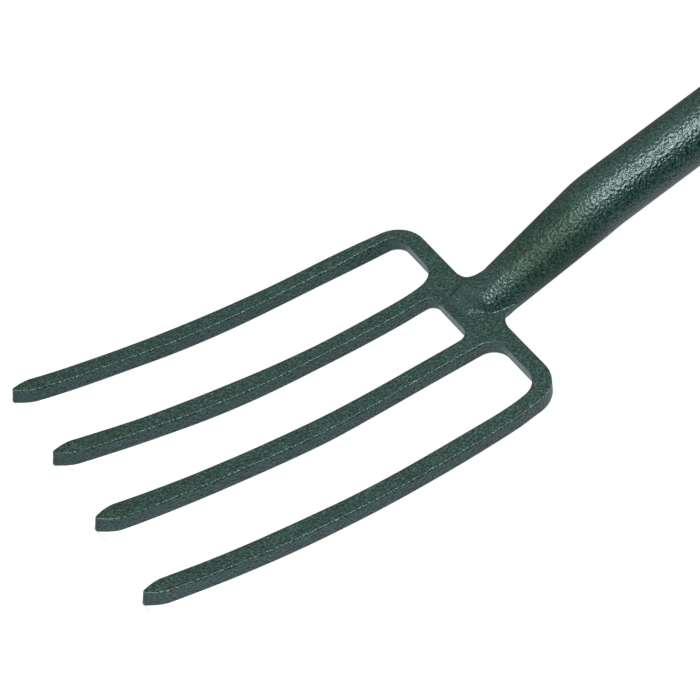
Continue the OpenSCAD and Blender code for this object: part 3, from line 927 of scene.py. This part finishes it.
head = make_head()
socket = make_socket()
weld = make_weld()
shaft = make_shaft()
grip = make_grip()
socket_rivets = make_socket_rivets()
crotch_rivet = arm_rivet("crotch_rivet_pin", CROTCH_Z, SPLIT_R)
grip_rivet = arm_rivet("grip_rivet_rod", GRIP_Z, ARM_OUT)
crotch_washers = arm_washers("crotch_washers_pair", CROTCH_Z, SPLIT_R)
grip_washers = arm_washers("grip_washers_pair", GRIP_Z, ARM_OUT)
wedge = make_wedge()

# ---------------------------------------------------------------------------
# materials, in metres


class Graph:
    """The node tree of a material or a world, filled from empty."""

    def __init__(self, owner, output):
        owner.use_nodes = True
        self.tree = owner.node_tree
        self.tree.nodes.clear()
        self.output = self.node(output)

    def put(self, value, socket):
        if isinstance(value, bpy.types.NodeSocket):
            self.tree.links.new(value, socket)
        else:
            socket.default_value = value

    def node(self, kind, *inputs, **settings):
        """A node. Settings are inputs by name, with _ for a space, or properties."""
        made = self.tree.nodes.new("ShaderNode" + kind)
        for key, value in settings.items():
            name = key.replace("_", " ")
            if name in made.inputs:
                self.put(value, made.inputs[name])
            else:
                setattr(made, key, value)
        for socket, value in zip(made.inputs, inputs):
            self.put(value, socket)
        return made

    def out(self, kind, *inputs, **settings):
        return self.node(kind, *inputs, **settings).outputs[0]

    def finish(self, shader):
        self.put(shader, self.output.inputs[0])

    def math(self, operation, *inputs):
        return self.out("Math", *inputs, operation=operation)

    def scaled(self, value, times, plus, clamp=False):
        return self.out("Math", value, times, plus, operation="MULTIPLY_ADD", use_clamp=clamp)

    def noise(self, vector, scale, detail, roughness=0.5):
        return self.out("TexNoise", Vector=vector, Scale=scale, Detail=detail,
                        Roughness=roughness)

    def smoothstep(self, value, start, end, low=0.0, high=1.0):
        return self.out("MapRange", interpolation_type="SMOOTHSTEP", Value=value,
                        From_Min=start, From_Max=end, To_Min=low, To_Max=high)

    def bump(self, height, strength, distance):
        return self.out("Bump", Height=height, Strength=strength, Distance=distance)

    def ramp(self, value, stops):
        """Stops are (position, rgb)."""
        made = self.node("ValToRGB", value)
        elements = made.color_ramp.elements
        while len(elements) > 1:
            elements.remove(elements[-1])
        for i, (position, colour) in enumerate(stops):
            element = elements.new(position) if i else elements[0]
            element.position = position
            element.color = (*colour, 1)
        return made.outputs[0]


def new_material(name):
    material = bpy.data.materials.new(name)
    return material, Graph(material, "OutputMaterial")


def paint():
    material, graph = new_material("hammer_finish_green")
    place = graph.node("TexCoord").outputs["Object"]
    # the skin's cells: smooth hollows about two millimetres across
    warp = graph.node("TexNoise", Vector=place, Scale=420.0, Detail=2.0, Roughness=0.5)
    warp_size = (0.0012, 0.0012, 0.0012)
    warped = graph.out("VectorMath", warp.outputs["Color"], warp_size, place,
                       operation="MULTIPLY_ADD")
    cells = graph.out("TexVoronoi", feature="SMOOTH_F1", Vector=warped, Scale=520.0,
                      Smoothness=0.55, Randomness=1.0)
    fine = graph.noise(place, scale=1250.0, detail=3.0, roughness=0.55)
    broad = graph.noise(place, scale=60.0, detail=3.0, roughness=0.6)
    blots = graph.noise(warped, scale=780.0, detail=3.0, roughness=0.6)
    height = graph.scaled(fine, times=0.35, plus=graph.math("MULTIPLY", cells, 0.9))
    bump = graph.bump(height, strength=1.0, distance=0.00058)
    # colour: dark where the tone is low, pale flake where it is high
    tone = graph.scaled(blots, times=3.3, plus=-1.36)
    tone = graph.scaled(cells, times=0.4, plus=tone)
    tone = graph.scaled(broad, times=0.35, plus=graph.math("ADD", tone, -0.18), clamp=True)
    colour = graph.ramp(tone, [
        (0.0, (0.0008, 0.0045, 0.0028)),
        (0.35, (0.0045, 0.0250, 0.0165)),
        (0.65, (0.0120, 0.0520, 0.0370)),
        (1.0, (0.048, 0.118, 0.092)),
    ])
    roughness = graph.ramp(blots, [(0.3, (0.16,) * 3), (0.7, (0.26,) * 3)])
    # halfway along the neck the paint is rougher, and there its highlight is dimmed by painted
    # shade (lower specular level and coat) and given a painted olive reflection tint: distances up
    # it where this comes and goes
    z = graph.node("SeparateXYZ", Vector=place).outputs["Z"]
    heights = [float(foot[2] + neck_dir[2] * along) / 1000 for along in (6, 44, 66, 98)]
    rise = graph.smoothstep(z, start=heights[0], end=heights[1])
    fall = graph.smoothstep(z, start=heights[2], end=heights[3], low=1.0, high=0.0)
    rougher_and_painted_dim = graph.math("MULTIPLY", rise, fall)
    tint = graph.node("Mix", rougher_and_painted_dim, data_type="RGBA")
    tint.inputs[6].default_value = (0.72, 1.0, 0.95, 1)   # colour A, where glossy
    tint.inputs[7].default_value = (0.81, 1.0, 0.71, 1)   # colour B, a painted olive reflection tint where the highlight is dimmed
    # along the neck the paint is rougher, and painted shade there lowers the specular level and
    # the coat to dim the highlight
    graph.finish(graph.out(
        "BsdfPrincipled", Base_Color=colour, Normal=bump, Metallic=0.0,
        Roughness=graph.scaled(rougher_and_painted_dim, times=0.19, plus=roughness),
        Specular_IOR_Level=graph.scaled(rougher_and_painted_dim, times=-0.32, plus=1.0),
        Specular_Tint=tint.outputs[2],
        Coat_Weight=graph.scaled(rougher_and_painted_dim, times=-0.33, plus=0.35),
        Coat_Roughness=0.1, Coat_Normal=bump))
    return material


def wood(name, dark, mid, light, ring=0.0042, gloss=0.36):
    """Ringed wood along the grain attribute. ring is the rings' spacing, gloss the roughness
    away from the pores."""
    material, graph = new_material(name)
    grain = graph.node("Attribute", attribute_name="grain").outputs["Vector"]
    x, y, z = graph.node("SeparateXYZ", Vector=grain).outputs

    def stretched(across_x, across_y, along):
        """The grain coordinates with their length along the grain scaled."""
        return graph.out("CombineXYZ", X=across_x, Y=across_y,
                         Z=graph.math("MULTIPLY", z, along))

    # growth rings: nearly flat layers that wander slowly along the grain
    slow = stretched(graph.math("MULTIPLY", x, 1.0), graph.math("MULTIPLY", y, 1.0), along=0.06)
    wander = graph.noise(slow, scale=38.0, detail=2.0, roughness=0.45)
    ripple = graph.noise(slow, scale=160.0, detail=2.0)
    pith_x, pith_y = 0.085, 0.028     # the rings' centre lies this far to the minus side
    from_x = graph.math("ADD", x, pith_x)
    from_y = graph.math("ADD", y, pith_y)
    radius = graph.math("SQRT", graph.math("ADD", graph.math("MULTIPLY", from_x, from_x),
                                           graph.math("MULTIPLY", from_y, from_y)))
    radius = graph.scaled(z, times=0.012, plus=radius)
    radius = graph.scaled(wander, times=0.011, plus=radius)
    radius = graph.scaled(ripple, times=0.0016, plus=radius)
    phase = graph.math("FRACT", graph.math("DIVIDE", radius, ring))
    # early wood: a sharp dark line that fades into the late wood
    fade = 3.2
    early = graph.math("POWER", graph.math("SUBTRACT", 1.0, phase), fade)
    # pores: short dark flecks along the grain, most of them in the early wood
    long_grain = stretched(x, y, along=0.035)
    pores = graph.noise(long_grain, scale=2300.0, detail=2.0, roughness=0.6)
    pores = graph.math("MULTIPLY", graph.scaled(pores, times=3.2, plus=-1.45, clamp=True),
                       graph.scaled(early, times=0.8, plus=0.2))
    fibres = graph.noise(long_grain, scale=820.0, detail=4.0, roughness=0.65)
    patches = graph.noise(slow, scale=22.0, detail=2.0)
    tone = graph.scaled(early, times=0.48, plus=graph.math("MULTIPLY", pores, 0.5))
    tone = graph.scaled(fibres, times=0.34, plus=tone)
    tone = graph.scaled(patches, times=0.30, plus=graph.math("ADD", tone, -0.24), clamp=True)
    height = graph.math("SUBTRACT", graph.math("MULTIPLY", fibres, 0.25),
                        graph.math("MULTIPLY", pores, 0.9))
    graph.finish(graph.out(
        "BsdfPrincipled",
        Base_Color=graph.ramp(tone, [(0.0, light), (0.45, mid), (1.0, dark)]),
        Roughness=graph.scaled(pores, times=0.25, plus=gloss),
        Normal=graph.bump(height, strength=0.35, distance=0.00018),
        Specular_IOR_Level=0.45, Coat_Weight=0.25, Coat_Roughness=0.28))
    return material


def steel():
    material, graph = new_material("bright_steel_worked")
    place = graph.node("TexCoord").outputs["Object"]
    patches = graph.noise(place, scale=420.0, detail=3.0, roughness=0.6)
    fine = graph.noise(place, scale=2600.0, detail=2.0)
    dents = graph.out("TexVoronoi", feature="SMOOTH_F1", Vector=place, Scale=700.0,
                      Smoothness=0.6)
    colour = graph.ramp(patches, [(0.3, (0.33, 0.32, 0.30)), (0.55, (0.52, 0.51, 0.49)),
                                  (0.8, (0.66, 0.65, 0.63))])
    height = graph.scaled(fine, times=0.25, plus=dents)
    graph.finish(graph.out(
        "BsdfPrincipled", Base_Color=colour, Metallic=1.0,
        Roughness=graph.scaled(patches, times=0.28, plus=0.18),
        Normal=graph.bump(height, strength=0.5, distance=0.00016)))
    return material


paint_mat = paint()
ash_mat = wood("ash_wood", dark=(0.21, 0.105, 0.042), mid=(0.50, 0.315, 0.155),
               light=(0.66, 0.465, 0.265))
wedge_mat = wood("wedge_wood", dark=(0.10, 0.045, 0.02), mid=(0.24, 0.12, 0.055),
                 light=(0.33, 0.18, 0.085), ring=0.0021, gloss=0.5)
steel_mat = steel()

# object, material, the frame's piece it replaces, material slot
for ob, material, piece, slot in (
    (head, paint_mat, "tine_head", "hammer_paint"),
    (socket, paint_mat, "socket", "hammer_paint"),
    (weld, paint_mat, "neck_weld", "hammer_paint"),
    (socket_rivets, paint_mat, "socket_rivets", "hammer_paint"),
    (shaft, ash_mat, "shaft", "ash_wood"),
    (grip, ash_mat, "grip", "ash_wood"),
    (wedge, wedge_mat, "crotch_wedge", "wedge_wood"),
    (crotch_rivet, steel_mat, "crotch_rivet", "bright_steel"),
    (crotch_washers, steel_mat, "crotch_washers", "bright_steel"),
    (grip_rivet, steel_mat, "grip_rivet", "bright_steel"),
    (grip_washers, steel_mat, "grip_washers", "bright_steel"),
):
    ob.data.materials.append(material)
    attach(ob, "root")
    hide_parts(piece)

# ---------------------------------------------------------------------------
# floor, camera, lights and world

FLOOR_R = 14.0     # metres
WHITE = 1.02       # how bright the far floor and the background look to the camera


def floor_material():
    """White to the camera, fading to plain white far out. To other rays it is a dimmer
    floor, so that it throws back less light than it shows."""
    material, graph = new_material("pale_floor")
    place = graph.node("TexCoord").outputs["Object"]
    distance = graph.node("VectorMath", place, operation="LENGTH").outputs["Value"]
    far = graph.smoothstep(distance, start=0.35, end=1.1)
    grit = graph.noise(place, scale=35.0, detail=3.0)
    near = graph.out(
        "BsdfPrincipled", Base_Color=graph.ramp(grit, [(0.3, (0.80,) * 3), (0.7, (0.84,) * 3)]),
        Roughness=0.9, Specular_IOR_Level=0.0,
        Emission_Color=(1, 1, 1, 1), Emission_Strength=0.60)
    seen = graph.out("MixShader", far, near, graph.out("Emission", Strength=WHITE))
    unseen = graph.out(
        "BsdfPrincipled", Base_Color=(0.46, 0.49, 0.53, 1),
        Roughness=1.0, Specular_IOR_Level=0.0,
        Emission_Color=(0.88, 1.0, 1.12, 1), Emission_Strength=0.20)
    to_camera = graph.node("LightPath").outputs["Is Camera Ray"]
    graph.finish(graph.out("MixShader", to_camera, unseen, seen))
    return material


def make_floor():
    mesh = bpy.data.meshes.new("floor")
    rim = [(FLOOR_R * math.cos(a), FLOOR_R * math.sin(a), 0.0)
           for a in np.arange(64) / 64 * 2 * math.pi]
    mesh.from_pydata(rim, [], [tuple(range(64))])
    floor = bpy.data.objects.new("floor", mesh)
    bpy.context.scene.collection.objects.link(floor)
    mesh.materials.append(floor_material())


# rows: the camera's right, down and forward, in the head's axes
CAMERA_ROWS = np.array([
    [0.5051, 0.8513, -0.1421],
    [0.5827, -0.4578, -0.6715],
    [-0.6367, 0.2563, -0.7273],
])
HEAD_FROM_CAMERA = np.array([73.135, -27.005, 1110.987])  # the head's origin, along those rows
row_u, _, row_v = np.linalg.svd(CAMERA_ROWS)
camera_rows = row_u @ row_v           # made exactly square to each other
camera_place = to_world((-camera_rows.T @ HEAD_FROM_CAMERA)[None])[0]
camera_axes = HEAD @ camera_rows.T    # columns: right, down, forward

# level directions from the shaft: towards the camera, and to the camera's right
to_camera = camera_place - np.array([0, SHAFT_Y, 380.0])
to_camera[2] = 0
to_camera /= np.linalg.norm(to_camera)
camera_side = np.cross(np.array([0, 0, 1.0]), to_camera)
if camera_side @ camera_axes[:, 0] < 0:
    camera_side = -camera_side


def make_camera():
    data = bpy.data.cameras.new("camera")
    data.sensor_width = 36.0
    data.lens = 92.6886857
    data.clip_end = 100.0
    camera = bpy.data.objects.new("camera", data)
    pose = np.eye(4)
    pose[:3, :3] = camera_axes * [1, -1, -1]
    pose[:3, 3] = camera_place * MM
    camera.matrix_world = Matrix(pose.tolist())
    bpy.context.scene.collection.objects.link(camera)
    bpy.context.scene.camera = camera


def area(name, turn, lift, distance, width, height, power):
    """An area light aimed at the shaft's axis. turn is in degrees from the camera towards
    its right, lift in degrees above level, lengths in metres."""
    data = bpy.data.lights.new(name, "AREA")
    data.shape = "RECTANGLE"
    data.size, data.size_y = width, height
    data.energy = power
    light = bpy.data.objects.new(name, data)
    turn, lift = math.radians(turn), math.radians(lift)
    level = to_camera * math.cos(turn) + camera_side * math.sin(turn)
    heading = level * math.cos(lift) + np.array([0, 0, math.sin(lift)])
    target = np.array((0, SHAFT_Y, 300.0)) * MM
    place = target + heading * distance
    light.location = place
    light.rotation_euler = Vector(target - place).to_track_quat("-Z", "Y").to_euler()
    bpy.context.scene.collection.objects.link(light)
    return light


# The surroundings' brightness: (degrees from the camera towards its right, level).
LEVELS = [
    (-180, 0.18), (-144, 0.15), (-116, 0.19), (-97, 0.24), (-88, 0.35), (-79, 0.54),
    (-66, 0.58), (-53, 0.59), (-42, 0.58), (14, 0.48), (20, 0.01), (64, 0.01),
    (81, 0.18), (98, 0.48), (116, 0.54), (144, 0.38),
]
BLUER_FROM, BLUER = 70, 1.15          # past this heading blue is raised this much


def make_world():
    """White to the camera. Other rays see LEVELS round the horizon and grey overhead."""
    world = bpy.data.worlds.new("world")
    bpy.context.scene.world = world
    graph = Graph(world, "OutputWorld")
    way = graph.node("TexCoord").outputs["Generated"]
    front, side = [
        graph.node("VectorMath", way, tuple(axis), operation="DOT_PRODUCT").outputs["Value"]
        for axis in (to_camera, camera_side)]
    turn = graph.scaled(graph.math("ARCTAN2", side, front), times=1 / (2 * math.pi), plus=0.5)
    horizon = graph.ramp(turn, [
        (degrees / 360 + 0.5, (level, level, level * (BLUER if degrees > BLUER_FROM else 1.0)))
        for degrees, level in LEVELS])
    up = graph.node("SeparateXYZ", way).outputs[2]
    overhead = graph.smoothstep(up, start=0.55, end=0.95)
    light = graph.out("MixRGB", overhead, horizon, (0.40, 0.40, 0.40, 1))
    lit = graph.out("Background", Color=light, Strength=1.0)
    seen = graph.out("Background", Color=(1, 1, 1, 1), Strength=WHITE)
    is_camera = graph.node("LightPath").outputs["Is Camera Ray"]
    graph.finish(graph.out("MixShader", is_camera, lit, seen))


make_floor()
make_camera()
area("key", turn=-14.5, lift=18, distance=2.4, width=0.5, height=1.6, power=29.0)
area("key_wide", turn=-12, lift=10, distance=2.7, width=1.7, height=2.6, power=10.0)
area("top", turn=30, lift=84, distance=2.6, width=2.2, height=2.2, power=14.0)
rear = area("rear", turn=160, lift=25, distance=2.8, width=1.8, height=2.0, power=16.0)
rear.visible_glossy = False
make_world()

view = bpy.context.scene.view_settings
view.view_transform = "Standard"
view.look = "None"
